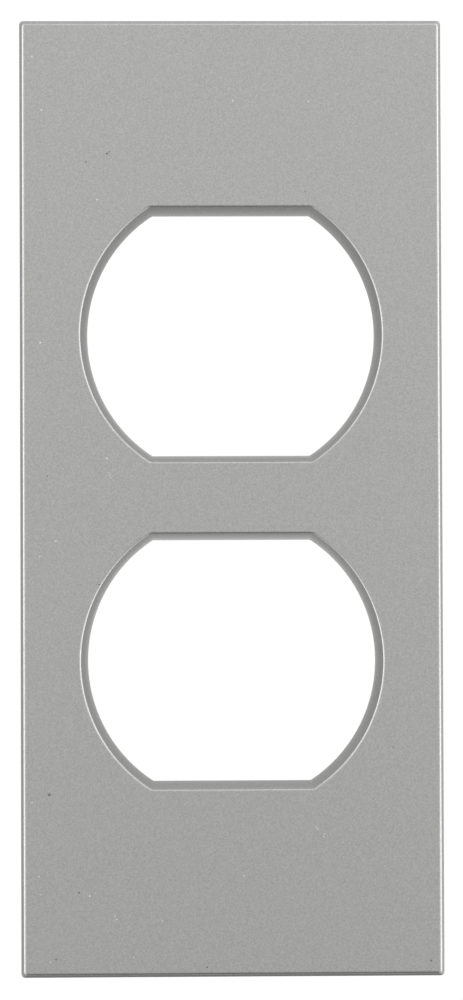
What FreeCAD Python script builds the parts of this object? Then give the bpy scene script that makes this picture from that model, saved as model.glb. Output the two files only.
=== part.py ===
import FreeCAD, Part
import math
import os

# Screwless duplex receptacle cover plate, in millimetres.
# X is to the right, Z is up and Y points into the wall. The wall is the plane y = 0, and the
# origin lies on it, on the axis of the centre screw. The decorative faceplate clips onto four
# springs that sit on a hidden mounting frame, and one screw holds that frame to the device.

# Standard sizes of the duplex device that the plate covers.
DEVICE_PITCH = 38.9
DEVICE_SCREW_PITCH = 83.34

# Faceplate: outline, depth and edges.
PLATE_WIDTH = 50.3
PLATE_HEIGHT = 113.9
PLATE_CORNER = 0.45
FACE_Y = -6.5
BEVEL_DEPTH = 0.76
BEVEL_INSET = 0.42
BEVEL_CORNER = 0.4
BEVEL_ROUNDING = 0.4
SKIRT_BACK_Y = -0.3
SKIRT_WALL = 1.5
FACE_THICKNESS = 2.0
CAVITY_CORNER = 0.8

# Openings in the face: round at the sides, flat above and below, wider at the front.
OPENING_RADIUS = 17.21
OPENING_HALF_HEIGHT = 14.4
OPENING_CORNER = 0.5
OPENING_DRAFT = 0.77
RIM_CORNER = 1.0
RIM_ROUNDING = 0.31
COLLAR_WALL = 1.5
COLLAR_BACK_Y = -3.0
RIM_MARGIN = 3.0

# Ribs behind the blank ends of the face.
RIB_WALL = 1.2
RIB_X = 9.0
RIB_CROSS_Z = 45.5
RIB_CROSS_HALF = 18.0

# Mounting frame.
FRAME_GAP = 0.3
FRAME_WALL = 1.5
FRAME_CORNER = 0.6
FRAME_FRONT_Y = -4.2
WEB_FRONT_Y = -2.8
WEB_BACK_Y = -1.4
FRAME_OPENING_RADIUS = 18.0
FRAME_OPENING_HALF_HEIGHT = 15.2
DEVICE_SCREW_RELIEF_RADIUS = 4.5

# Spring clips and the places that hold them.
CLIP_Z = 40.0
CLIP_WIDTH = 6.0
CLIP_THICKNESS = 0.3
CLIP_BEND = 0.3
CLIP_INNER_X = 20.45
CLIP_OUTER_X = 22.75
CLIP_TOP_Y = -4.05
CLIP_NOSE_X = 23.45
CLIP_NOSE_Y = -2.6
CLIP_NOSE_RISE = 1.0
CLIP_NOSE_RETURN = 1.5
CLIP_INNER_END_Y = -1.75
CLIP_FIT = 0.05
POCKET_WIDTH = 6.6
POCKET_FLOOR_Y = -0.5
BLOCK_TOP_Y = -3.8
BLOCK_CHAMFER = 0.2
PEG_RADIUS = 0.5
PEG_LENGTH = 0.65
PEG_Y = -2.6
PEG_FIT = 0.1

# Catch ledges on the inside of the faceplate's skirt.
LEDGE_WIDTH = 5.0
LEDGE_DEPTH = 0.5
LEDGE_FRONT_Y = -2.0
LEDGE_LAND = 0.4
PRY_NOTCH_WIDTH = 6.0
PRY_NOTCH_DEPTH = 1.2

# Centre screw, 6-32 by one half inch, and the washer that keeps it in the frame.
SCREW_RADIUS = 1.75
SCREW_TIP_Y = 9.3
SCREW_TIP_CHAMFER = 0.5
NECK_RADIUS = 1.35
THREAD_START_Y = -1.2
HEAD_RADIUS = 3.2
HEAD_FRONT_Y = -4.3
HEAD_SEAT_Y = -3.25
HEAD_ROUNDING = 0.3
SLOT_WIDTH = 0.9
SLOT_DEPTH = 0.6
BOSS_RADIUS = 3.3
BOSS_FRONT_Y = -3.2
HEAD_POCKET_RADIUS = 3.7
SCREW_HOLE_RADIUS = 1.9
WASHER_RADIUS = 3.2
WASHER_BORE = 1.45
WASHER_FRONT_Y = -1.95
WASHER_THICKNESS = 0.5
WASHER_POCKET_RADIUS = 3.5
WASHER_POCKET_Y = -2.0

# Worked out from the sizes above.
BEVEL_Y = FACE_Y + BEVEL_DEPTH
FACE_WIDTH = PLATE_WIDTH - 2 * BEVEL_INSET
FACE_HEIGHT = PLATE_HEIGHT - 2 * BEVEL_INSET
FACE_BACK_Y = FACE_Y + FACE_THICKNESS
CAVITY_WIDTH = PLATE_WIDTH - 2 * SKIRT_WALL
CAVITY_HEIGHT = PLATE_HEIGHT - 2 * SKIRT_WALL
FRAME_WIDTH = CAVITY_WIDTH - 2 * FRAME_GAP
FRAME_HEIGHT = CAVITY_HEIGHT - 2 * FRAME_GAP
OPENING_CENTRES = (DEVICE_PITCH / 2, -DEVICE_PITCH / 2)

# How far cutting shapes run past a surface, how far joined shapes overlap, and the
# distance within which two places count as the same.
OVERRUN = 1.0
OVERLAP = 0.5
SAME_PLACE = 1e-4


def box(x_range, y_range, z_range):
    """A box between two values on each axis."""
    size = [high - low for low, high in (x_range, y_range, z_range)]
    corner = FreeCAD.Vector(x_range[0], y_range[0], z_range[0])
    return Part.makeBox(*size, corner)


def rod(radius, y_range, z=0.0):
    """A cylinder along Y."""
    start = FreeCAD.Vector(0, y_range[0], z)
    return Part.makeCylinder(radius, y_range[1] - y_range[0], start, FreeCAD.Vector(0, 1, 0))


def slab(width, height, corner, y_range):
    """A flat block centred on the origin, with its four corners rounded."""
    block = box((-width / 2, width / 2), y_range, (-height / 2, height / 2))
    corners = [edge for edge in block.Edges if abs(edge.Length - (y_range[1] - y_range[0])) < SAME_PLACE]
    return block.makeFillet(corner, corners)


def edges_at(shape, y):
    """The edges of a shape that lie in the plane of this y."""
    return [
        edge
        for edge in shape.Edges
        if abs(edge.BoundBox.YMin - y) < SAME_PLACE and abs(edge.BoundBox.YMax - y) < SAME_PLACE
    ]


def opening_outline(radius, half_height, corner, y, z):
    """The outline of one opening: two arcs, two flats and four rounded corners."""
    corner_x = math.sqrt((radius - corner) ** 2 - (half_height - corner) ** 2)
    corner_z = half_height - corner
    arc_x = corner_x * radius / (radius - corner)
    arc_z = corner_z * radius / (radius - corner)
    turn = math.atan2(corner_z, corner_x)
    middle = (turn + math.pi / 2) / 2
    middle_x = corner_x + corner * math.cos(middle)
    middle_z = corner_z + corner * math.sin(middle)

    def place(across, up):
        return FreeCAD.Vector(across, y, z + up)

    def arc(first, second, third):
        return Part.Arc(place(*first), place(*second), place(*third)).toShape()

    edges = [
        arc((arc_x, -arc_z), (radius, 0), (arc_x, arc_z)),
        arc((arc_x, arc_z), (middle_x, middle_z), (corner_x, half_height)),
        Part.makeLine(place(corner_x, half_height), place(-corner_x, half_height)),
        arc((-corner_x, half_height), (-middle_x, middle_z), (-arc_x, arc_z)),
        arc((-arc_x, arc_z), (-radius, 0), (-arc_x, -arc_z)),
        arc((-arc_x, -arc_z), (-middle_x, -middle_z), (-corner_x, -half_height)),
        Part.makeLine(place(-corner_x, -half_height), place(corner_x, -half_height)),
        arc((corner_x, -half_height), (middle_x, -middle_z), (arc_x, -arc_z)),
    ]
    return Part.Wire(edges)


def opening_block(radius, half_height, corner, y_range, z):
    """A straight solid with the outline of an opening."""
    face = Part.Face(opening_outline(radius, half_height, corner, y_range[0], z))
    return face.extrude(FreeCAD.Vector(0, y_range[1] - y_range[0], 0))


def tapered_opening(z):
    """The space inside one opening, which widens towards the front."""
    slope = OPENING_DRAFT / (COLLAR_BACK_Y - FACE_Y)
    corner_slope = (RIM_CORNER - OPENING_CORNER) / (COLLAR_BACK_Y - FACE_Y)
    sections = []
    for y in (COLLAR_BACK_Y + OVERRUN, FACE_Y - OVERRUN):
        forward = COLLAR_BACK_Y - y
        wider = slope * forward
        corner = OPENING_CORNER + corner_slope * forward
        outline = opening_outline(OPENING_RADIUS + wider, OPENING_HALF_HEIGHT + wider, corner, y, z)
        sections.append(outline)
    return Part.makeLoft(sections, True, True)


def mirrored(shape, across_x, across_z):
    """A copy of a shape on the other side of the plate, where asked."""
    if across_x:
        shape = shape.mirror(FreeCAD.Vector(0, 0, 0), FreeCAD.Vector(1, 0, 0))
    if across_z:
        shape = shape.mirror(FreeCAD.Vector(0, 0, 0), FreeCAD.Vector(0, 0, 1))
    return shape


def at_each_clip(shape):
    """Four copies of a shape made at the upper right clip."""
    sides = ((False, False), (False, True), (True, False), (True, True))
    return [mirrored(shape, across_x, across_z) for across_x, across_z in sides]


def strip_path(points, radius):
    """Straight runs in a plane of constant z, joined by tangent arcs."""
    edges = []
    start = points[0]
    for before, corner, after in zip(points, points[1:], points[2:]):
        inward = (before - corner).normalize()
        outward = (after - corner).normalize()
        half_angle = inward.getAngle(outward) / 2
        tangent = radius / math.tan(half_angle)
        first = corner + inward * tangent
        last = corner + outward * tangent
        bisector = (inward + outward).normalize()
        middle = corner + bisector * (radius / math.sin(half_angle) - radius)
        edges.append(Part.makeLine(start, first))
        edges.append(Part.Arc(first, middle, last).toShape())
        start = last
    edges.append(Part.makeLine(start, points[-1]))
    return Part.Wire(edges)


def spring_clip():
    """A flat spring folded over its block, with a nose that bows outwards, at the upper right."""
    low_z = CLIP_Z - CLIP_WIDTH / 2
    places = (
        (CLIP_INNER_X, CLIP_INNER_END_Y),
        (CLIP_INNER_X, CLIP_TOP_Y),
        (CLIP_OUTER_X, CLIP_TOP_Y),
        (CLIP_OUTER_X, CLIP_NOSE_Y - CLIP_NOSE_RISE),
        (CLIP_NOSE_X, CLIP_NOSE_Y),
        (CLIP_OUTER_X, CLIP_NOSE_Y + CLIP_NOSE_RETURN),
    )
    points = [FreeCAD.Vector(x, y, low_z) for x, y in places]
    centre_line = strip_path(points, CLIP_BEND)
    outline = centre_line.makeOffset2D(CLIP_THICKNESS / 2, 0, False, False, True)
    strip = Part.Face(outline).extrude(FreeCAD.Vector(0, 0, CLIP_WIDTH))
    hole = peg(PEG_RADIUS + PEG_FIT)
    return strip.cut(hole)


def peg(radius):
    """The peg that keeps a clip on its block, at the upper right."""
    root_x = CLIP_INNER_X + CLIP_THICKNESS / 2 + CLIP_FIT
    start = FreeCAD.Vector(root_x, PEG_Y, CLIP_Z)
    return Part.makeCylinder(radius, PEG_LENGTH, start, FreeCAD.Vector(-1, 0, 0))


def plate_outline(width, height, corner, y):
    """A rectangle with rounded corners, centred on the origin."""
    block = slab(width, height, corner, (y, y + OVERRUN))
    outlines = [face.OuterWire for face in block.Faces if abs(face.BoundBox.YMax - y) < SAME_PLACE]
    return outlines[0]


def faceplate_shell():
    """The outside of the faceplate: a face with a steep bevel round it, hollow behind."""
    skirt = slab(PLATE_WIDTH, PLATE_HEIGHT, PLATE_CORNER, (BEVEL_Y, SKIRT_BACK_Y))
    outer = plate_outline(PLATE_WIDTH, PLATE_HEIGHT, PLATE_CORNER, BEVEL_Y)
    inner = plate_outline(FACE_WIDTH, FACE_HEIGHT, BEVEL_CORNER, FACE_Y)
    front = Part.makeLoft([outer, inner], True, True)
    front = front.makeFillet(BEVEL_ROUNDING, edges_at(front, FACE_Y))
    cavity = slab(CAVITY_WIDTH, CAVITY_HEIGHT, CAVITY_CORNER, (FACE_BACK_Y, SKIRT_BACK_Y + OVERRUN))
    return skirt.fuse(front).cut(cavity)


def collars():
    """The walls round the openings behind the face, cleared round the head of the centre screw."""
    radius = OPENING_RADIUS + COLLAR_WALL
    half_height = OPENING_HALF_HEIGHT + COLLAR_WALL
    y_range = (FACE_BACK_Y - OVERRUN, COLLAR_BACK_Y)
    solids = [opening_block(radius, half_height, RIM_CORNER, y_range, z) for z in OPENING_CENTRES]
    joined = solids[0].fuse(solids[1])
    return joined.cut(rod(HEAD_POCKET_RADIUS, (FACE_BACK_Y, COLLAR_BACK_Y + OVERRUN)))


def end_ribs():
    """Two upright ribs and one cross rib behind each blank end of the face."""
    y_range = (FACE_BACK_Y - OVERLAP, COLLAR_BACK_Y)
    end_z = FRAME_HEIGHT / 2 - FRAME_WALL - FRAME_GAP
    rib_start_z = DEVICE_PITCH / 2 + OPENING_HALF_HEIGHT + COLLAR_WALL / 2
    ribs = []
    for below in (False, True):
        for x in (-RIB_X, RIB_X):
            upright = box((x - RIB_WALL / 2, x + RIB_WALL / 2), y_range, (rib_start_z, end_z))
            ribs.append(mirrored(upright, False, below))
        cross_z = (RIB_CROSS_Z - RIB_WALL / 2, RIB_CROSS_Z + RIB_WALL / 2)
        cross = box((-RIB_CROSS_HALF, RIB_CROSS_HALF), y_range, cross_z)
        ribs.append(mirrored(cross, False, below))
    return ribs


def catch_ledge():
    """The ledge that a clip's nose holds, at the upper right."""
    wall_x = CAVITY_WIDTH / 2
    ramp_end_y = LEDGE_FRONT_Y + LEDGE_DEPTH
    back_y = ramp_end_y + LEDGE_LAND + LEDGE_DEPTH
    profile = (
        (wall_x + SKIRT_WALL / 2, LEDGE_FRONT_Y),
        (wall_x, LEDGE_FRONT_Y),
        (wall_x - LEDGE_DEPTH, ramp_end_y),
        (wall_x - LEDGE_DEPTH, ramp_end_y + LEDGE_LAND),
        (wall_x, back_y),
        (wall_x + SKIRT_WALL / 2, back_y),
    )
    points = [FreeCAD.Vector(x, y, CLIP_Z - LEDGE_WIDTH / 2) for x, y in profile]
    face = Part.Face(Part.makePolygon(points + points[:1]))
    return face.extrude(FreeCAD.Vector(0, 0, LEDGE_WIDTH))


def pry_notch():
    """The space of the notch in the bottom of the skirt, where a blade lifts the faceplate."""
    x_range = (-PRY_NOTCH_WIDTH / 2, PRY_NOTCH_WIDTH / 2)
    y_range = (SKIRT_BACK_Y - PRY_NOTCH_DEPTH, SKIRT_BACK_Y + OVERRUN)
    z_range = (-PLATE_HEIGHT / 2 - OVERRUN, -CAVITY_HEIGHT / 2 + OVERRUN)
    return box(x_range, y_range, z_range)


def make_faceplate():
    """The decorative plate, the one piece in view when the plate is mounted."""
    plate = faceplate_shell().fuse([collars()] + end_ribs() + at_each_clip(catch_ledge()))
    for z in OPENING_CENTRES:
        plate = plate.cut(tapered_opening(z))
    plate = plate.cut(pry_notch()).removeSplitter()
    rims = [edge for edge in edges_at(plate, FACE_Y) if is_rim(edge)]
    return plate.makeFillet(RIM_ROUNDING, rims)


def is_rim(edge):
    """True for an edge of an opening, which stays well inside the outline of the face."""
    bounds = edge.BoundBox
    inside_x = max(abs(bounds.XMin), abs(bounds.XMax)) < FACE_WIDTH / 2 - RIM_MARGIN
    inside_z = max(abs(bounds.ZMin), abs(bounds.ZMax)) < FACE_HEIGHT / 2 - RIM_MARGIN
    return inside_x and inside_z


def frame_base():
    """The frame's outer wall and web, with the openings for the device."""
    block = slab(FRAME_WIDTH, FRAME_HEIGHT, FRAME_CORNER, (FRAME_FRONT_Y, 0))
    inner_width = FRAME_WIDTH - 2 * FRAME_WALL
    inner_height = FRAME_HEIGHT - 2 * FRAME_WALL
    front = slab(inner_width, inner_height, FRAME_CORNER, (FRAME_FRONT_Y - OVERRUN, WEB_FRONT_Y))
    back = slab(inner_width, inner_height, FRAME_CORNER, (WEB_BACK_Y, OVERRUN))
    base = block.cut(front).cut(back)
    web_range = (WEB_FRONT_Y - OVERRUN, WEB_BACK_Y + OVERRUN)
    for z in OPENING_CENTRES:
        space = opening_block(
            FRAME_OPENING_RADIUS, FRAME_OPENING_HALF_HEIGHT, RIM_CORNER, web_range, z
        )
        base = base.cut(space)
    for z in (DEVICE_SCREW_PITCH / 2, -DEVICE_SCREW_PITCH / 2):
        base = base.cut(rod(DEVICE_SCREW_RELIEF_RADIUS, web_range, z))
    return base


def clip_block():
    """The block that a clip is folded over, with its peg, at the upper right."""
    inner_x = CLIP_INNER_X + CLIP_THICKNESS / 2 + CLIP_FIT
    outer_x = CLIP_OUTER_X - CLIP_THICKNESS / 2 - CLIP_FIT
    z_range = (CLIP_Z - POCKET_WIDTH / 2, CLIP_Z + POCKET_WIDTH / 2)
    block = box((inner_x, outer_x), (BLOCK_TOP_Y, WEB_BACK_Y), z_range)
    block = block.makeChamfer(BLOCK_CHAMFER, [
        edge for edge in edges_at(block, BLOCK_TOP_Y) if abs(edge.Length - POCKET_WIDTH) < SAME_PLACE
    ])
    return block.fuse(peg(PEG_RADIUS))


def clip_pocket():
    """The space for a clip in the frame, open to the front and outwards, at the upper right."""
    z_range = (CLIP_Z - POCKET_WIDTH / 2, CLIP_Z + POCKET_WIDTH / 2)
    inner_x = CLIP_INNER_X - CLIP_THICKNESS / 2 - CLIP_FIT - PEG_LENGTH
    return box(
        (inner_x, FRAME_WIDTH / 2 + OVERRUN),
        (FRAME_FRONT_Y - OVERRUN, POCKET_FLOOR_Y),
        z_range,
    )


def pocket_side_wall():
    """The part of the frame's outer wall that stands behind a clip block, at the upper right."""
    inner_x = FRAME_WIDTH / 2 - FRAME_WALL
    outer_x = CLIP_OUTER_X - CLIP_THICKNESS / 2 - CLIP_FIT
    z_range = (CLIP_Z - POCKET_WIDTH / 2, CLIP_Z + POCKET_WIDTH / 2)
    return box((inner_x, outer_x), (WEB_BACK_Y, 0), z_range)


def make_mounting_frame():
    """The hidden frame that the centre screw pulls onto the device and the wall."""
    frame = frame_base()
    for pocket in at_each_clip(clip_pocket()):
        frame = frame.cut(pocket)
    frame = frame.fuse(at_each_clip(clip_block()) + at_each_clip(pocket_side_wall()))
    frame = frame.fuse(rod(BOSS_RADIUS, (BOSS_FRONT_Y, WEB_FRONT_Y + OVERLAP)))
    frame = frame.cut(rod(SCREW_HOLE_RADIUS, (BOSS_FRONT_Y - OVERRUN, WEB_BACK_Y + OVERRUN)))
    frame = frame.cut(rod(WASHER_POCKET_RADIUS, (WASHER_POCKET_Y, WEB_BACK_Y + OVERRUN)))
    return frame.removeSplitter()


def make_centre_screw():
    """A slotted screw whose thread is drawn at its full diameter, with a neck below the head."""
    head = rod(HEAD_RADIUS, (HEAD_FRONT_Y, HEAD_SEAT_Y))
    head = head.makeFillet(HEAD_ROUNDING, edges_at(head, HEAD_FRONT_Y))
    slot = box(
        (-HEAD_RADIUS - OVERRUN, HEAD_RADIUS + OVERRUN),
        (HEAD_FRONT_Y - OVERRUN, HEAD_FRONT_Y + SLOT_DEPTH),
        (-SLOT_WIDTH / 2, SLOT_WIDTH / 2),
    )
    neck = rod(NECK_RADIUS, (HEAD_SEAT_Y, THREAD_START_Y))
    thread = rod(SCREW_RADIUS, (THREAD_START_Y, SCREW_TIP_Y))
    thread = thread.makeChamfer(SCREW_TIP_CHAMFER, edges_at(thread, SCREW_TIP_Y))
    return head.cut(slot).fuse([neck, thread]).removeSplitter()


def make_retaining_washer():
    """The fibre washer that grips the screw's neck behind the frame."""
    y_range = (WASHER_FRONT_Y, WASHER_FRONT_Y + WASHER_THICKNESS)
    washer = rod(WASHER_RADIUS, y_range)
    return washer.cut(rod(WASHER_BORE, (y_range[0] - OVERRUN, y_range[1] + OVERRUN)))


def main():
    clip = spring_clip()
    pieces = {
        "faceplate": make_faceplate(),
        "mounting_frame": make_mounting_frame(),
        "spring_clip_upper_right": clip,
        "spring_clip_upper_left": mirrored(clip, True, False),
        "spring_clip_lower_right": mirrored(clip, False, True),
        "spring_clip_lower_left": mirrored(clip, True, True),
        "centre_screw": make_centre_screw(),
        "screw_retaining_washer": make_retaining_washer(),
    }
    os.makedirs("parts", exist_ok=True)
    for name, shape in pieces.items():
        solids = shape.Solids
        if len(solids) != 1 or not solids[0].isValid():
            raise ValueError(f"{name} is not one valid solid")
        solids[0].exportStep(os.path.join("parts", f"{name}.step"))
        print(name, round(solids[0].Volume, 2), "mm3")


main()
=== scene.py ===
import math

import bmesh
import bpy
from mathutils import Matrix, Vector


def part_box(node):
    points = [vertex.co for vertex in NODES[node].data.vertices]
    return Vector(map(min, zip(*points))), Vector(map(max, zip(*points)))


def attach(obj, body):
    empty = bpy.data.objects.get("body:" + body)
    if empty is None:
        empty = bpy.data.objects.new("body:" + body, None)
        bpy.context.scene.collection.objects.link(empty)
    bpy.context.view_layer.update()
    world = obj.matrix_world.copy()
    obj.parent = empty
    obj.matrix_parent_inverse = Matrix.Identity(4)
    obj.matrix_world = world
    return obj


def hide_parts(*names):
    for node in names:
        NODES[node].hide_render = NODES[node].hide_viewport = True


# A screwless duplex outlet cover plate, seen from the front on a white ground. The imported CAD
# frame gives every place; the faceplate and the screw are remade here with finer meshes.
# Lengths are in metres, and MM turns millimetres into them. X is right, Z is up, +Y goes into
# the wall, so the plate's face looks along -Y.

MM = 0.001

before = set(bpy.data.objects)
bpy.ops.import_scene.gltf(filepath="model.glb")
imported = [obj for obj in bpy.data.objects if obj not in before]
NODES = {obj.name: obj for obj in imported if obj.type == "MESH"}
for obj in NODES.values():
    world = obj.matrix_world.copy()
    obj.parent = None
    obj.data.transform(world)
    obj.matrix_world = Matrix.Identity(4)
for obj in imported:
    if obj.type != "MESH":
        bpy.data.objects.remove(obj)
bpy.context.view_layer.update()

# Places read from the frame.
PLATE_LOW, PLATE_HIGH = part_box("faceplate")
FRAME_LOW, FRAME_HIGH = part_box("mounting_frame")
SCREW_LOW, SCREW_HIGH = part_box("centre_screw")
CLIP_NAMES = sorted(name for name in NODES if name.startswith("spring_clip"))
PLATE_WIDTH = PLATE_HIGH.x - PLATE_LOW.x
PLATE_HEIGHT = PLATE_HIGH.z - PLATE_LOW.z
FACE_Y = PLATE_LOW.y
SKIRT_BACK_Y = PLATE_HIGH.y

# Faceplate sections, in step with the CAD part.
SIDE_CORNER = 0.45 * MM
SIDE_ROUNDING = 0.2 * MM
BEVEL_DEPTH = 0.76 * MM
BEVEL_INSET = 0.42 * MM
BEVEL_ROUNDING = 0.4 * MM
FACE_CORNER = 0.4 * MM
SKIRT_WALL = 1.5 * MM
SKIRT_ROUNDING = 0.12 * MM
CAVITY_CORNER = 0.8 * MM
CAVITY_FILLET = 0.3 * MM
CAVITY_FLOOR_Y = FACE_Y + 2.0 * MM
OPENING_PITCH = 38.9 * MM
OPENING_RADIUS = 17.21 * MM
OPENING_HALF_HEIGHT = 14.4 * MM
OPENING_CORNER = 0.5 * MM
OPENING_SLOPE = 0.22
WALL_CURVE = 0.08
RIM_CORNER = 1.0 * MM
RIM_ROUNDING = 0.31 * MM
COLLAR_BACK_Y = -3.0 * MM
COLLAR_WALL = 1.5 * MM
HEAD_POCKET_RADIUS = 3.7 * MM
RIB_WALL = 1.2 * MM
RIB_X = 9.0 * MM
RIB_CROSS_Z = 45.5 * MM
RIB_CROSS_HALF = 18.0 * MM
RIB_END_Z = FRAME_HIGH.z - 1.8 * MM
LEDGE_WIDTH = 5.0 * MM
LEDGE_DEPTH = 0.5 * MM
LEDGE_LAND = 0.4 * MM
LEDGE_FRONT_Y = -2.0 * MM
NOTCH_WIDTH = 6.0 * MM
NOTCH_DEPTH = 1.2 * MM

# Screw sections, in step with the CAD part; the thread itself is 6-32.
THREAD_PITCH = 25.4 / 32 * MM
THREAD_RADIUS = 1.75 * MM
THREAD_ROOT = 1.3 * MM
THREAD_START_Y = -1.2 * MM
NECK_RADIUS = 1.35 * MM
HEAD_SEAT_Y = -3.25 * MM
HEAD_ROUNDING = 0.3 * MM
HEAD_EASE = 0.08 * MM
HEAD_CENTRE_SHARE = 0.3
TIP_CHAMFER = 0.5 * MM
THREAD_FLAT_SHARE = 0.2
THREAD_FLANK_SHARE = 0.65
SLOT_WIDTH = 0.9 * MM
SLOT_DEPTH = 0.6 * MM

# The paint, and its marks: x, z and radius in millimetres.
PAINT_METALLIC = 0.85
PAINT_ROUGHNESS = 0.28
PAINT_DARK = (0.30, 0.30, 0.296)
PAINT_LIGHT = (0.74, 0.74, 0.73)
FLAKES_PER_MM = 8.0
FLAKE_CONTRAST = 0.17
LIGHT_MARK_STRENGTH = 0.8
DARK_MARK_STRENGTH = 0.62
LIGHT_MARKS = (
    (-23.6, 52.6, 0.09), (-22.5, 46.2, 0.09), (0.3, 47.3, 0.08), (9.3, 47.2, 0.08),
    (-15.9, 35.5, 0.09), (-22.7, 18.5, 0.11), (-20.9, -5.1, 0.09), (-22.8, -6.9, 0.07),
    (-14.8, 4.7, 0.10), (-14.6, 3.0, 0.06), (-14.5, 2.7, 0.06), (-14.4, 2.4, 0.06),
    (-23.0, -44.9, 0.08), (-22.8, -47.0, 0.07), (1.3, -44.9, 0.08), (-8.4, -50.2, 0.07),
    (-11.8, -54.5, 0.08), (-23.8, -36.1, 0.08), (-17.0, -47.2, 0.10), (-14.0, -49.6, 0.07),
    (-13.8, -50.0, 0.08), (9.9, -39.2, 0.07), (10.1, -39.4, 0.07), (10.9, -40.0, 0.07),
    (10.8, -40.3, 0.07), (-21.7, -55.0, 0.07),
)
DARK_MARKS = (
    (-21.75, -35.2, 0.16), (-18.3, -46.8, 0.12), (-21.0, -54.7, 0.10),
    (-3.1, -55.7, 0.10), (23.5, -55.1, 0.12), (-14.7, 41.0, 0.12), (-14.4, 41.2, 0.08),
    (-17.2, 40.0, 0.09), (8.9, 36.4, 0.08), (-15.8, -10.3, 0.10), (-21.9, 2.6, 0.08),
)

# The room's light levels: straight in front, straight behind, and on each side at equal steps of
# the angle between those two. The sides are bright, and the low side is dim.
ROOM_FRONT = 0.625
ROOM_BACK = 1.8
ROOM_LEFT = (1.0, 1.3, 2.8, 0.9, 0.25, 0.35)
ROOM_RIGHT = (0.95, 1.2, 2.6, 2.0, 0.3, 0.33)
ROOM_ABOVE = (0.9, 0.85, 0.55, 0.7, 0.7, 0.35)
ROOM_BELOW = (0.35, 0.1, 0.0, 0.6, 0.1, 0.6)
ROOM_SIDES = (
    ("X", -1.0, ROOM_LEFT),
    ("X", 1.0, ROOM_RIGHT),
    ("Z", 1.0, ROOM_ABOVE),
    ("Z", -1.0, ROOM_BELOW),
)
ROOM_SCALE = 4.0
WHITE_GROUND = 1.02
LIGHTS = (
    ("high_panel", (0.25, -0.7, 1.1), (0, 0, 0), (0.8, 0.8), 1.0),
)

# The floor, well below the plate, in metres.
FLOOR_RADIUS = 0.42
FLOOR_THICKNESS = 0.004
FLOOR_Z = -0.15
FLOOR_STEPS = 96

# The camera: its place, its turn in radians, and its lens and sensor in the camera's own units.
CAMERA_PLACE = (-7.01 * MM, FACE_Y - 367.7 * MM, -6.31 * MM)
CAMERA_YAW = 0.0190
CAMERA_PITCH = 0.01635
CAMERA_ROLL = 0.0036
CAMERA_LENS = 111.35
CAMERA_SENSOR = 36.0

# How far cutters run past what they cut, and joined solids run into each other.
OVERRUN = 1.0 * MM
COLLAR_OVERLAP = 0.5 * MM
RIB_OVERLAP = 0.4 * MM
NOTCH_REACH = 2.0 * MM
SLOT_REACH = 5.0 * MM

# Mesh fineness, and the angles past which an edge stays sharp.
PLATE_SHARP_ANGLE = 32
SCREW_SHARP_ANGLE = 40
MERGE_DISTANCE = 0.0005 * MM
SIDE_STEPS = 4
SKIRT_STEPS = 3
FILLET_STEPS = 5
HEAD_STEPS = 6
CORNER_STEPS = 10
ROLL_STEPS = 14
WALL_STEPS = 8
ARC_STEPS = 72
SCREW_STEPS = 72
THREAD_LEVELS = 20


# ---------------------------------------------------------------- mesh helpers


def new_object(name, mesh):
    piece = bpy.data.objects.new(name, mesh)
    bpy.context.scene.collection.objects.link(piece)
    return piece


def solid_from_rings(name, rings):
    """A closed solid: rings with equal point counts, joined in turn and capped at both ends."""
    count = len(rings[0])
    points = [point for ring in rings for point in ring]
    faces = [tuple(reversed(range(count)))]
    for level in range(len(rings) - 1):
        low, high = level * count, (level + 1) * count
        for i in range(count):
            j = (i + 1) % count
            faces.append((low + i, low + j, high + j, high + i))
    faces.append(tuple(range(len(points) - count, len(points))))
    mesh = bpy.data.meshes.new(name)
    mesh.from_pydata(points, [], faces)
    fix_normals(mesh)
    return new_object(name, mesh)


def fix_normals(mesh):
    """Turns every face of a closed mesh outwards."""
    work = bmesh.new()
    work.from_mesh(mesh)
    bmesh.ops.recalc_face_normals(work, faces=work.faces)
    if work.calc_volume(signed=True) < 0:
        bmesh.ops.reverse_faces(work, faces=work.faces)
    work.to_mesh(mesh)
    work.free()


def box_solid(name, low, high):
    ring = ((low[0], low[2]), (high[0], low[2]), (high[0], high[2]), (low[0], high[2]))
    return solid_from_rings(name, [[(x, y, z) for x, z in ring] for y in (low[1], high[1])])


def combine(base, others, operation):
    """Joins solids to a base or cuts them from it, and deletes them."""
    group = bpy.data.collections.new("operands")
    bpy.context.scene.collection.children.link(group)
    for other in others:
        group.objects.link(other)
    modifier = base.modifiers.new(operation, "BOOLEAN")
    modifier.operation = operation
    modifier.operand_type = "COLLECTION"
    modifier.collection = group
    modifier.solver = "EXACT"
    bake_modifiers(base)
    for other in others:
        bpy.data.objects.remove(other)
    bpy.data.collections.remove(group)


def bake_modifiers(piece):
    """Replaces a piece's mesh by the mesh that its modifiers make."""
    graph = bpy.context.evaluated_depsgraph_get()
    graph.update()
    baked = bpy.data.meshes.new_from_object(piece.evaluated_get(graph))
    piece.modifiers.clear()
    piece.data = baked


def clean(piece):
    """Merges doubled points and removes slivers that a cut leaves behind."""
    work = bmesh.new()
    work.from_mesh(piece.data)
    bmesh.ops.remove_doubles(work, verts=work.verts, dist=MERGE_DISTANCE)
    bmesh.ops.dissolve_degenerate(work, edges=work.edges, dist=MERGE_DISTANCE)
    work.to_mesh(piece.data)
    work.free()


def smooth_by_angle(piece, degrees):
    """Smooth shading with sharp edges past an angle, and flat faces kept truly flat."""
    piece.data.shade_smooth()
    piece.data.set_sharp_from_angle(angle=math.radians(degrees))
    weighted = piece.modifiers.new("flat_faces", "WEIGHTED_NORMAL")
    weighted.mode = "FACE_AREA"
    weighted.weight = 100
    weighted.keep_sharp = True


# ---------------------------------------------------------------- faceplate


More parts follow.
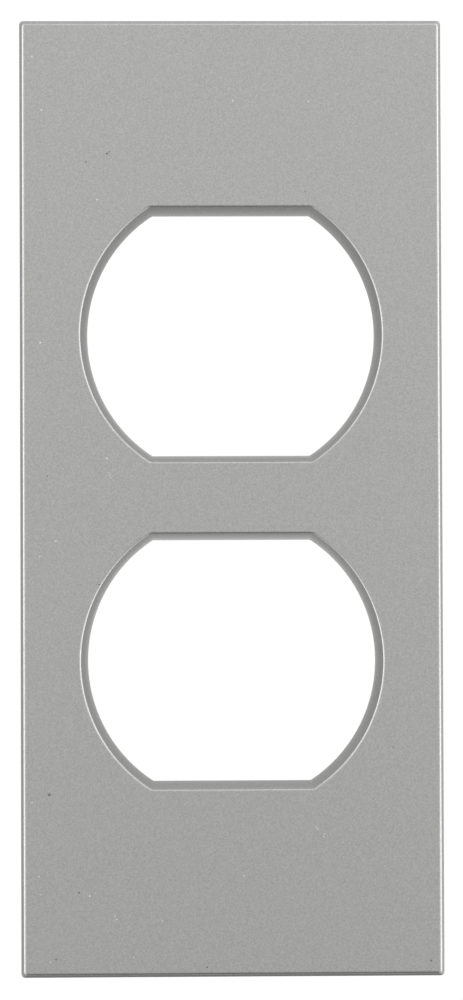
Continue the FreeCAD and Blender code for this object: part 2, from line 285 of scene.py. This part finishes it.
def plate_ring(inset, corner, y):
    """A rectangle with rounded corners, this far inside the plate's outline."""
    half_x = PLATE_WIDTH / 2 - inset
    half_z = PLATE_HEIGHT / 2 - inset
    points = []
    for side_x, side_z, start in ((1, 1, 0), (-1, 1, 90), (-1, -1, 180), (1, -1, 270)):
        centre_x = side_x * (half_x - corner)
        centre_z = side_z * (half_z - corner)
        for step in range(CORNER_STEPS + 1):
            angle = math.radians(start + 90 * step / CORNER_STEPS)
            x = centre_x + corner * math.cos(angle)
            z = centre_z + corner * math.sin(angle)
            points.append((x, y, z))
    return points


def shell_rings():
    """The faceplate's outside and cavity, from the face round the skirt to the cavity's floor."""
    tilt = math.atan2(BEVEL_DEPTH, BEVEL_INSET)
    rings = []
    face_inset = BEVEL_INSET + BEVEL_ROUNDING * math.tan(tilt / 2)
    for step in range(ROLL_STEPS + 1):
        turn = tilt * step / ROLL_STEPS
        inset = face_inset - BEVEL_ROUNDING * math.sin(turn)
        y = FACE_Y + BEVEL_ROUNDING * (1 - math.cos(turn))
        rings.append(plate_ring(inset, FACE_CORNER + BEVEL_INSET - inset, y))
    side_start_y = FACE_Y + BEVEL_DEPTH + SIDE_ROUNDING * math.tan((math.pi / 2 - tilt) / 2)
    for step in range(SIDE_STEPS + 1):
        turn = tilt + (math.pi / 2 - tilt) * step / SIDE_STEPS
        inset = SIDE_ROUNDING * (1 - math.sin(turn))
        y = side_start_y - SIDE_ROUNDING * math.cos(turn)
        rings.append(plate_ring(inset, SIDE_CORNER, y))
    for step in range(SKIRT_STEPS + 1):
        turn = math.pi / 2 * step / SKIRT_STEPS
        inset = SKIRT_ROUNDING * (1 - math.cos(turn))
        y = SKIRT_BACK_Y - SKIRT_ROUNDING * (1 - math.sin(turn))
        rings.append(plate_ring(inset, SIDE_CORNER, y))
    for step in range(SKIRT_STEPS + 1):
        turn = math.pi / 2 * step / SKIRT_STEPS
        inset = SKIRT_WALL - SKIRT_ROUNDING * (1 - math.sin(turn))
        y = SKIRT_BACK_Y - SKIRT_ROUNDING * (1 - math.cos(turn))
        rings.append(plate_ring(inset, CAVITY_CORNER, y))
    for step in range(FILLET_STEPS + 1):
        turn = math.pi / 2 * step / FILLET_STEPS
        inset = SKIRT_WALL + CAVITY_FILLET * (1 - math.cos(turn))
        y = CAVITY_FLOOR_Y + CAVITY_FILLET * (1 - math.sin(turn))
        rings.append(plate_ring(inset, CAVITY_CORNER, y))
    return rings


def opening_ring(radius, half_height, corner, y, z):
    """One opening's outline: round sides, flat top and bottom, and rounded corners."""
    corner_x = math.sqrt((radius - corner) ** 2 - (half_height - corner) ** 2)
    corner_z = half_height - corner
    reach = math.atan2(corner_z, corner_x)
    points = []
    for side in (1, -1):
        for step in range(ARC_STEPS + 1):
            angle = -reach + 2 * reach * step / ARC_STEPS
            points.append((side * radius * math.cos(angle), y, z + side * radius * math.sin(angle)))
        for step in range(1, CORNER_STEPS + 1):
            angle = reach + (math.pi / 2 - reach) * step / CORNER_STEPS
            x = corner_x + corner * math.cos(angle)
            up = corner_z + corner * math.sin(angle)
            points.append((side * x, y, z + side * up))
        for step in range(CORNER_STEPS):
            angle = math.pi / 2 - (math.pi / 2 - reach) * step / CORNER_STEPS
            x = corner_x + corner * math.cos(angle)
            up = corner_z + corner * math.sin(angle)
            points.append((-side * x, y, z + side * up))
    return points


def opening_cutter(name, z):
    """The space of one opening: a tapered wall that rolls over into the face."""
    draft = math.atan(OPENING_SLOPE)
    wall_end_y = FACE_Y + RIM_ROUNDING * (1 - math.sin(draft))
    wall_end = OPENING_SLOPE * (COLLAR_BACK_Y - wall_end_y)
    centre = wall_end + RIM_ROUNDING * math.cos(draft)
    back_slope = OPENING_SLOPE - WALL_CURVE
    sections = [(-back_slope * OVERRUN, OPENING_CORNER, COLLAR_BACK_Y + OVERRUN)]
    for step in range(WALL_STEPS):
        share = step / WALL_STEPS
        wider = wall_end * share * (1 - WALL_CURVE / OPENING_SLOPE * (1 - share))
        corner = OPENING_CORNER + (RIM_CORNER - OPENING_CORNER) * share
        sections.append((wider, corner, COLLAR_BACK_Y + (wall_end_y - COLLAR_BACK_Y) * share))
    for step in range(ROLL_STEPS + 1):
        turn = (math.pi / 2 - draft) * (1 - step / ROLL_STEPS)
        wider = centre - RIM_ROUNDING * math.sin(turn)
        y = FACE_Y + RIM_ROUNDING * (1 - math.cos(turn))
        sections.append((wider, RIM_CORNER + wider - wall_end, y))
    last_wider, last_corner, _ = sections[-1]
    sections.append((last_wider, last_corner, FACE_Y - OVERRUN))
    rings = [
        opening_ring(OPENING_RADIUS + wider, OPENING_HALF_HEIGHT + wider, corner, y, z)
        for wider, corner, y in sections
    ]
    return solid_from_rings(name, rings)


def collar(name, z):
    """The wall round one opening, from inside the face back to the collar's end."""
    radius = OPENING_RADIUS + COLLAR_WALL
    half_height = OPENING_HALF_HEIGHT + COLLAR_WALL
    depths = (CAVITY_FLOOR_Y - COLLAR_OVERLAP, COLLAR_BACK_Y)
    rings = [opening_ring(radius, half_height, RIM_CORNER, y, z) for y in depths]
    return solid_from_rings(name, rings)


def round_pocket(name, radius, low_y, high_y):
    """A plain cylinder along Y on the screw's axis."""
    rings = []
    for y in (low_y, high_y):
        ring = []
        for step in range(SCREW_STEPS):
            angle = 2 * math.pi * step / SCREW_STEPS
            ring.append((radius * math.cos(angle), y, radius * math.sin(angle)))
        rings.append(ring)
    return solid_from_rings(name, rings)


def end_ribs():
    """Two upright ribs and one cross rib behind each blank end of the face."""
    front_y = CAVITY_FLOOR_Y - RIB_OVERLAP
    start_z = OPENING_PITCH / 2 + OPENING_HALF_HEIGHT + COLLAR_WALL / 2
    ribs = []
    for side_z in (1, -1):
        for side_x in (1, -1):
            z_ends = sorted((side_z * start_z, side_z * RIB_END_Z))
            low = (side_x * RIB_X - RIB_WALL / 2, front_y, z_ends[0])
            high = (side_x * RIB_X + RIB_WALL / 2, COLLAR_BACK_Y, z_ends[1])
            ribs.append(box_solid("upright_rib", low, high))
        cross = side_z * RIB_CROSS_Z
        low = (-RIB_CROSS_HALF, front_y, cross - RIB_WALL / 2)
        high = (RIB_CROSS_HALF, COLLAR_BACK_Y, cross + RIB_WALL / 2)
        ribs.append(box_solid("cross_rib", low, high))
    return ribs


def catch_ledges():
    """One ledge on the skirt's inside at the middle of each clip."""
    wall_x = PLATE_WIDTH / 2 - SKIRT_WALL
    ramp_end_y = LEDGE_FRONT_Y + LEDGE_DEPTH
    profile = (
        (wall_x + SKIRT_WALL / 2, LEDGE_FRONT_Y),
        (wall_x, LEDGE_FRONT_Y),
        (wall_x - LEDGE_DEPTH, ramp_end_y),
        (wall_x - LEDGE_DEPTH, ramp_end_y + LEDGE_LAND),
        (wall_x, ramp_end_y + LEDGE_LAND + LEDGE_DEPTH),
        (wall_x + SKIRT_WALL / 2, ramp_end_y + LEDGE_LAND + LEDGE_DEPTH),
    )
    ledges = []
    for name in CLIP_NAMES:
        low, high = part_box(name)
        side = 1 if low.x > 0 else -1
        middle = (low.z + high.z) / 2
        rings = [
            [(side * x, y, middle + end * LEDGE_WIDTH / 2) for x, y in profile] for end in (-1, 1)
        ]
        ledges.append(solid_from_rings("ledge_" + name, rings))
    return ledges


def make_faceplate():
    plate = solid_from_rings("faceplate_fine", shell_rings())
    centres = (OPENING_PITCH / 2, -OPENING_PITCH / 2)
    walls = [collar(f"collar_{i}", z) for i, z in enumerate(centres)]
    combine(walls[0], walls[1:], "UNION")
    pocket = round_pocket("pocket", HEAD_POCKET_RADIUS, CAVITY_FLOOR_Y, COLLAR_BACK_Y + OVERRUN)
    combine(walls[0], [pocket], "DIFFERENCE")
    combine(plate, [walls[0]] + end_ribs() + catch_ledges(), "UNION")
    cuts = [opening_cutter(f"opening_{i}", z) for i, z in enumerate(centres)]
    notch_low = (-NOTCH_WIDTH / 2, SKIRT_BACK_Y - NOTCH_DEPTH, PLATE_LOW.z - OVERRUN)
    notch_high = (NOTCH_WIDTH / 2, SKIRT_BACK_Y + OVERRUN, PLATE_LOW.z + NOTCH_REACH)
    cuts.append(box_solid("notch", notch_low, notch_high))
    combine(plate, cuts, "DIFFERENCE")
    clean(plate)
    smooth_by_angle(plate, PLATE_SHARP_ANGLE)
    plate.data.materials.clear()
    plate.data.materials.append(silver_paint())
    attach(plate, "faceplate")
    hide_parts("faceplate")
    return plate


# ---------------------------------------------------------------- screw


def thread_radius(y, angle):
    """The thread's radius at a place: a 60 degree profile that runs out at the neck and the tip."""
    phase = ((y - THREAD_START_Y) / THREAD_PITCH - angle / (2 * math.pi)) % 1.0
    distance = abs(phase - 0.5) * 2
    height = min(1.0, max(0.0, (distance - THREAD_FLAT_SHARE) / THREAD_FLANK_SHARE))
    depth = THREAD_RADIUS - THREAD_ROOT
    run_out = min(1.0, (y - THREAD_START_Y) / THREAD_PITCH)
    tip = THREAD_RADIUS - max(0.0, y - (SCREW_HIGH.y - TIP_CHAMFER))
    full = THREAD_ROOT + depth * height
    return min(full * run_out + NECK_RADIUS * (1 - run_out), tip)


def screw_sections():
    """Rings from the head's front to the tip: for each, its y and its radius by angle."""
    head_radius = SCREW_HIGH.x
    front_y = SCREW_LOW.y
    sections = [(front_y, lambda angle: head_radius * HEAD_CENTRE_SHARE)]
    for step in range(HEAD_STEPS + 1):
        turn = math.pi / 2 * step / HEAD_STEPS
        radius = head_radius - HEAD_ROUNDING * (1 - math.sin(turn))
        y = front_y + HEAD_ROUNDING * (1 - math.cos(turn))
        sections.append((y, lambda angle, r=radius: r))
    sections.append((HEAD_SEAT_Y - HEAD_EASE, lambda angle: head_radius))
    sections.append((HEAD_SEAT_Y, lambda angle: head_radius - HEAD_EASE))
    sections.append((HEAD_SEAT_Y, lambda angle: NECK_RADIUS + HEAD_EASE))
    sections.append((HEAD_SEAT_Y + HEAD_EASE, lambda angle: NECK_RADIUS))
    levels = int((SCREW_HIGH.y - THREAD_START_Y) / THREAD_PITCH * THREAD_LEVELS)
    for level in range(levels + 1):
        y = THREAD_START_Y + (SCREW_HIGH.y - THREAD_START_Y) * level / levels
        sections.append((y, lambda angle, y=y: thread_radius(y, angle)))
    return sections


def make_screw():
    rings = []
    for y, radius_at in screw_sections():
        ring = []
        for step in range(SCREW_STEPS):
            angle = 2 * math.pi * step / SCREW_STEPS
            radius = radius_at(angle)
            ring.append((radius * math.cos(angle), y, radius * math.sin(angle)))
        rings.append(ring)
    screw = solid_from_rings("centre_screw_threaded", rings)
    slot_low = (-SLOT_REACH, SCREW_LOW.y - OVERRUN, -SLOT_WIDTH / 2)
    slot_high = (SLOT_REACH, SCREW_LOW.y + SLOT_DEPTH, SLOT_WIDTH / 2)
    combine(screw, [box_solid("slot", slot_low, slot_high)], "DIFFERENCE")
    clean(screw)
    smooth_by_angle(screw, SCREW_SHARP_ANGLE)
    screw.data.materials.clear()
    screw.data.materials.append(zinc_plate())
    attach(screw, "screw")
    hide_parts("centre_screw")
    return screw


# ---------------------------------------------------------------- materials


def node_adder(nodes):
    """A short way to add a node and set its inputs by name."""

    def add(kind, **inputs):
        node = nodes.new(kind)
        for key, value in inputs.items():
            node.inputs[key.replace("_", " ")].default_value = value
        return node

    return add


def new_material(name):
    """A material with its shader, and short ways to add and join nodes."""
    material = bpy.data.materials.new(name)
    material.use_nodes = True
    nodes = material.node_tree.nodes
    return material, nodes["Principled BSDF"], node_adder(nodes), material.node_tree.links.new


def millimetre_coordinates(add, join, stretch=(1.0, 1.0, 1.0)):
    """Object coordinates in millimetres, stretched where asked."""
    place = add("ShaderNodeTexCoord")
    scale = add("ShaderNodeMapping")
    scale.inputs["Scale"].default_value = [1000.0 * share for share in stretch]
    join(place.outputs["Object"], scale.inputs["Vector"])
    return scale.outputs["Vector"]


def noise(add, join, vector, scale, detail=2.0, rough=0.5):
    texture = add("ShaderNodeTexNoise", Scale=scale, Detail=detail, Roughness=rough)
    join(vector, texture.inputs["Vector"])
    return texture.outputs["Fac"]


def remap(add, join, value, low, high, out_low, out_high):
    """A value taken from one range to another and held inside it."""
    node = add("ShaderNodeMapRange")
    node.inputs["From Min"].default_value = low
    node.inputs["From Max"].default_value = high
    node.inputs["To Min"].default_value = out_low
    node.inputs["To Max"].default_value = out_high
    join(value, node.inputs["Value"])
    return node.outputs["Result"]


def maths(add, join, operation, first, second):
    node = add("ShaderNodeMath")
    node.operation = operation
    for socket, value in zip(node.inputs, (first, second)):
        if isinstance(value, (int, float)):
            socket.default_value = value
        else:
            join(value, socket)
    return node.outputs[0]


def blend_colour(add, join, share, first, second):
    node = add("ShaderNodeMix")
    node.data_type = "RGBA"
    join(share, node.inputs["Factor"])
    for name, value in (("A", first), ("B", second)):
        socket = next(s for s in node.inputs if s.name == name and s.type == "RGBA")
        if isinstance(value, tuple):
            socket.default_value = (*value, 1.0)
        else:
            join(value, socket)
    return next(s for s in node.outputs if s.type == "RGBA")


def bump(add, join, height, distance, strength=1.0, under=None):
    node = add("ShaderNodeBump", Strength=strength, Distance=distance)
    join(height, node.inputs["Height"])
    if under is not None:
        join(under, node.inputs["Normal"])
    return node.outputs["Normal"]


def spots(add, join, place, marks):
    """A mask that is 1 on each of the marks, given as x, z and radius in millimetres."""
    mask = 0.0
    for x, z, radius in marks:
        gap = add("ShaderNodeVectorMath")
        gap.operation = "DISTANCE"
        join(place, gap.inputs[0])
        gap.inputs[1].default_value = (x, 0.0, z)
        spot = remap(add, join, gap.outputs["Value"], 1.3 * radius, 0.7 * radius, 0.0, 1.0)
        mask = maths(add, join, "MAXIMUM", spot, mask)
    return mask


def stray_specks(add, join, place, scale, radius, share):
    """A mask of rare round specks: some cells of a grid of points hold one, the others none."""
    cells = add("ShaderNodeTexVoronoi", Scale=scale)
    join(place, cells.inputs["Vector"])
    size = radius * scale
    spot = remap(add, join, cells.outputs["Distance"], 1.3 * size, 0.7 * size, 0.0, 1.0)
    chosen = maths(add, join, "LESS_THAN", cells.outputs["Color"], share)
    return maths(add, join, "MULTIPLY", spot, chosen)


def silver_paint():
    """Satin silver paint: fine flakes, a soft mottle, a slight orange peel, specks and nibs."""
    material, shader, add, join = new_material("silver_paint")
    place = millimetre_coordinates(add, join)
    flat_place = millimetre_coordinates(add, join, (1.0, 0.0, 1.0))
    shader.inputs["Metallic"].default_value = PAINT_METALLIC
    shader.inputs["Roughness"].default_value = PAINT_ROUGHNESS

    flakes = add("ShaderNodeTexVoronoi", Scale=FLAKES_PER_MM)
    join(place, flakes.inputs["Vector"])
    grain = remap(add, join, flakes.outputs["Color"], 0, 1, -FLAKE_CONTRAST, FLAKE_CONTRAST)
    mottle = noise(add, join, place, 0.9, 3.0)
    cloud = remap(add, join, mottle, 0.3, 0.7, -0.008, 0.008)
    tone = maths(add, join, "ADD", maths(add, join, "ADD", grain, cloud), 0.5)
    paint = blend_colour(add, join, tone, PAINT_DARK, PAINT_LIGHT)

    stray_dark = stray_specks(add, join, flat_place, 0.19, 0.07, 0.35)
    dark = maths(add, join, "MAXIMUM", spots(add, join, flat_place, DARK_MARKS), stray_dark)
    dark_share = maths(add, join, "MULTIPLY", dark, DARK_MARK_STRENGTH)
    shaded = blend_colour(add, join, dark_share, paint, (0.03, 0.03, 0.03))
    stray_light = stray_specks(add, join, flat_place, 0.23, 0.05, 0.35)
    light = maths(add, join, "MAXIMUM", spots(add, join, flat_place, LIGHT_MARKS), stray_light)
    light_share = maths(add, join, "MULTIPLY", light, LIGHT_MARK_STRENGTH)
    lit = blend_colour(add, join, light_share, shaded, (1.0, 1.0, 0.98))
    join(lit, shader.inputs["Base Color"])

    peel = noise(add, join, place, 1.6, 2.0)
    fine = noise(add, join, place, 7.0, 2.0)
    streaks = noise(add, join, millimetre_coordinates(add, join, (1.0, 0.12, 1.0)), 2.5, 3.0)
    soft = bump(add, join, peel, 0.004 * MM)
    streaky = bump(add, join, streaks, 0.004 * MM, under=soft)
    join(bump(add, join, fine, 0.0015 * MM, under=streaky), shader.inputs["Normal"])
    return material


def zinc_plate():
    """Bright zinc: a light metal with a faint cloud of roughness."""
    material, shader, add, join = new_material("zinc_plate")
    place = millimetre_coordinates(add, join)
    shader.inputs["Metallic"].default_value = 1.0
    cloud = noise(add, join, place, 2.2, 4.0, 0.6)
    join(remap(add, join, cloud, 0.3, 0.7, 0.2, 0.36), shader.inputs["Roughness"])
    colour = blend_colour(add, join, cloud, (0.55, 0.57, 0.6), (0.78, 0.79, 0.78))
    join(colour, shader.inputs["Base Color"])
    grain = noise(add, join, place, 14.0, 2.0)
    join(bump(add, join, grain, 0.002 * MM), shader.inputs["Normal"])
    return material


def spring_steel():
    """Rolled stainless strip: fine lines along the strip and a low sheen."""
    material, shader, add, join = new_material("spring_steel")
    lines_place = millimetre_coordinates(add, join, (0.15, 0.15, 6.0))
    place = millimetre_coordinates(add, join)
    shader.inputs["Metallic"].default_value = 1.0
    shader.inputs["Anisotropic"].default_value = 0.4
    lines = noise(add, join, lines_place, 3.0, 3.0)
    cloud = noise(add, join, place, 1.5, 3.0)
    join(remap(add, join, lines, 0.3, 0.7, 0.2, 0.34), shader.inputs["Roughness"])
    join(blend_colour(add, join, cloud, (0.5, 0.5, 0.49), (0.68, 0.68, 0.67)), shader.inputs["Base Color"])
    join(bump(add, join, lines, 0.002 * MM), shader.inputs["Normal"])
    return material


def frame_plastic():
    """Dark glass-filled plastic with a fine spark-eroded texture and pale fibre flecks."""
    material, shader, add, join = new_material("frame_plastic")
    place = millimetre_coordinates(add, join)
    shader.inputs["Metallic"].default_value = 0.0
    texture = noise(add, join, place, 5.0, 4.0, 0.65)
    patches = noise(add, join, place, 0.25, 3.0)
    join(remap(add, join, patches, 0.3, 0.7, 0.45, 0.62), shader.inputs["Roughness"])
    base = blend_colour(add, join, patches, (0.032, 0.033, 0.036), (0.05, 0.051, 0.055))
    flecks = add("ShaderNodeTexVoronoi", Scale=2.6)
    join(place, flecks.inputs["Vector"])
    fleck_mask = remap(add, join, flecks.outputs["Distance"], 0.05, 0.12, 0.35, 0.0)
    join(blend_colour(add, join, fleck_mask, base, (0.13, 0.13, 0.135)), shader.inputs["Base Color"])
    join(bump(add, join, texture, 0.012 * MM), shader.inputs["Normal"])
    return material


def washer_fibre():
    """Pressed red fibre: matt, with short darker threads."""
    material, shader, add, join = new_material("washer_fibre")
    threads_place = millimetre_coordinates(add, join, (1.0, 3.0, 0.35))
    shader.inputs["Roughness"].default_value = 0.75
    threads = noise(add, join, threads_place, 6.0, 4.0, 0.6)
    colour = blend_colour(add, join, threads, (0.16, 0.03, 0.02), (0.36, 0.085, 0.05))
    join(colour, shader.inputs["Base Color"])
    join(bump(add, join, threads, 0.01 * MM), shader.inputs["Normal"])
    return material


def dress_cad_nodes():
    """Gives each CAD node that stays in view its own material."""
    materials = {"mounting_frame": frame_plastic(), "screw_retaining_washer": washer_fibre()}
    steel = spring_steel()
    for name in CLIP_NAMES:
        materials[name] = steel
    for name, material in materials.items():
        for slot in NODES[name].material_slots:
            slot.link = "OBJECT"
            slot.material = material


# ---------------------------------------------------------------- stage, light and camera


def make_floor():
    """A pale round floor, outside the main view, that neither shades nor reflects on the plate."""
    rings = []
    for z in (-FLOOR_THICKNESS, 0.0):
        ring = []
        for step in range(FLOOR_STEPS):
            angle = 2 * math.pi * step / FLOOR_STEPS
            ring.append((FLOOR_RADIUS * math.cos(angle), FLOOR_RADIUS * math.sin(angle), z))
        rings.append(ring)
    floor = solid_from_rings("floor", rings)
    floor.location = (0, 0, FLOOR_Z)
    floor.visible_glossy = False
    floor.visible_diffuse = False
    floor.visible_shadow = False
    material, shader, _, _ = new_material("floor_paint")
    shader.inputs["Base Color"].default_value = (0.82, 0.82, 0.81, 1)
    shader.inputs["Roughness"].default_value = 0.8
    floor.data.materials.append(material)


def make_world():
    """A round white room: white to the camera, with light levels that depend on the direction.

    Each side of the room has its own levels, given at steps of the angle from straight in front.
    """
    world = bpy.data.worlds.new("white_room")
    bpy.context.scene.world = world
    world.use_nodes = True
    nodes = world.node_tree.nodes
    join = world.node_tree.links.new
    background = nodes["Background"]
    background.inputs["Color"].default_value = (1.0, 1.0, 1.0, 1.0)
    add = node_adder(nodes)

    place = add("ShaderNodeTexCoord")
    split = add("ShaderNodeSeparateXYZ")
    join(place.outputs["Generated"], split.inputs["Vector"])
    facing = maths(add, join, "MULTIPLY", split.outputs["Y"], -1.0)
    turn = maths(add, join, "DIVIDE", maths(add, join, "ARCCOSINE", facing, 0.0), math.pi)
    squares = [maths(add, join, "POWER", split.outputs[axis], 2.0) for axis in ("X", "Z")]
    across = maths(add, join, "MAXIMUM", maths(add, join, "ADD", *squares), 1e-6)
    total = 0.0
    for axis, sign, levels in ROOM_SIDES:
        ramp = add("ShaderNodeValToRGB")
        stops = (ROOM_FRONT, *levels, ROOM_BACK)
        while len(ramp.color_ramp.elements) < len(stops):
            ramp.color_ramp.elements.new(1.0)
        for index, level in enumerate(stops):
            element = ramp.color_ramp.elements[index]
            element.position = index / (len(stops) - 1)
            element.color = (level / ROOM_SCALE, level / ROOM_SCALE, level / ROOM_SCALE, 1.0)
        join(turn, ramp.inputs["Fac"])
        toward = maths(add, join, "MAXIMUM", maths(add, join, "MULTIPLY", split.outputs[axis], sign), 0.0)
        share = maths(add, join, "DIVIDE", maths(add, join, "POWER", toward, 2.0), across)
        total = maths(add, join, "ADD", maths(add, join, "MULTIPLY", ramp.outputs["Color"], share), total)
    level = maths(add, join, "MULTIPLY", total, ROOM_SCALE)
    rays = add("ShaderNodeLightPath")
    seen = add("ShaderNodeMix")
    join(rays.outputs["Is Camera Ray"], seen.inputs["Factor"])
    join(level, seen.inputs["A"])
    seen.inputs["B"].default_value = WHITE_GROUND
    join(seen.outputs["Result"], background.inputs["Strength"])


def area_light(name, place, target, size, power):
    """A soft rectangular light that the camera doesn't see."""
    data = bpy.data.lights.new(name, "AREA")
    data.shape = "RECTANGLE"
    data.size, data.size_y = size
    data.energy = power
    light = bpy.data.objects.new(name, data)
    bpy.context.scene.collection.objects.link(light)
    light.location = place
    aim = Vector(target) - Vector(place)
    light.rotation_euler = aim.to_track_quat("-Z", "Y").to_euler()
    light.visible_camera = False


def make_camera():
    """A long lens a little left of and below the plate's centre, turned to face it."""
    data = bpy.data.cameras.new("camera")
    data.lens = CAMERA_LENS
    data.sensor_width = CAMERA_SENSOR
    data.clip_start = 0.01
    data.clip_end = 10.0
    camera = bpy.data.objects.new("camera", data)
    bpy.context.scene.collection.objects.link(camera)
    forward = Vector((
        math.sin(CAMERA_YAW) * math.cos(CAMERA_PITCH),
        math.cos(CAMERA_YAW) * math.cos(CAMERA_PITCH),
        math.sin(CAMERA_PITCH),
    ))
    level_right = forward.cross(Vector((0, 0, 1))).normalized()
    level_up = level_right.cross(forward)
    right = math.cos(CAMERA_ROLL) * level_right - math.sin(CAMERA_ROLL) * level_up
    up = math.sin(CAMERA_ROLL) * level_right + math.cos(CAMERA_ROLL) * level_up
    turn = Matrix((right, up, -forward)).transposed()
    camera.matrix_world = Matrix.Translation(CAMERA_PLACE) @ turn.to_4x4()
    bpy.context.scene.camera = camera


def main():
    """Makes the studio, the camera and the pieces."""
    bpy.context.scene.view_settings.view_transform = "Standard"
    make_camera()
    make_world()
    for light in LIGHTS:
        area_light(*light)
    make_floor()
    make_faceplate()
    make_screw()
    dress_cad_nodes()


main()
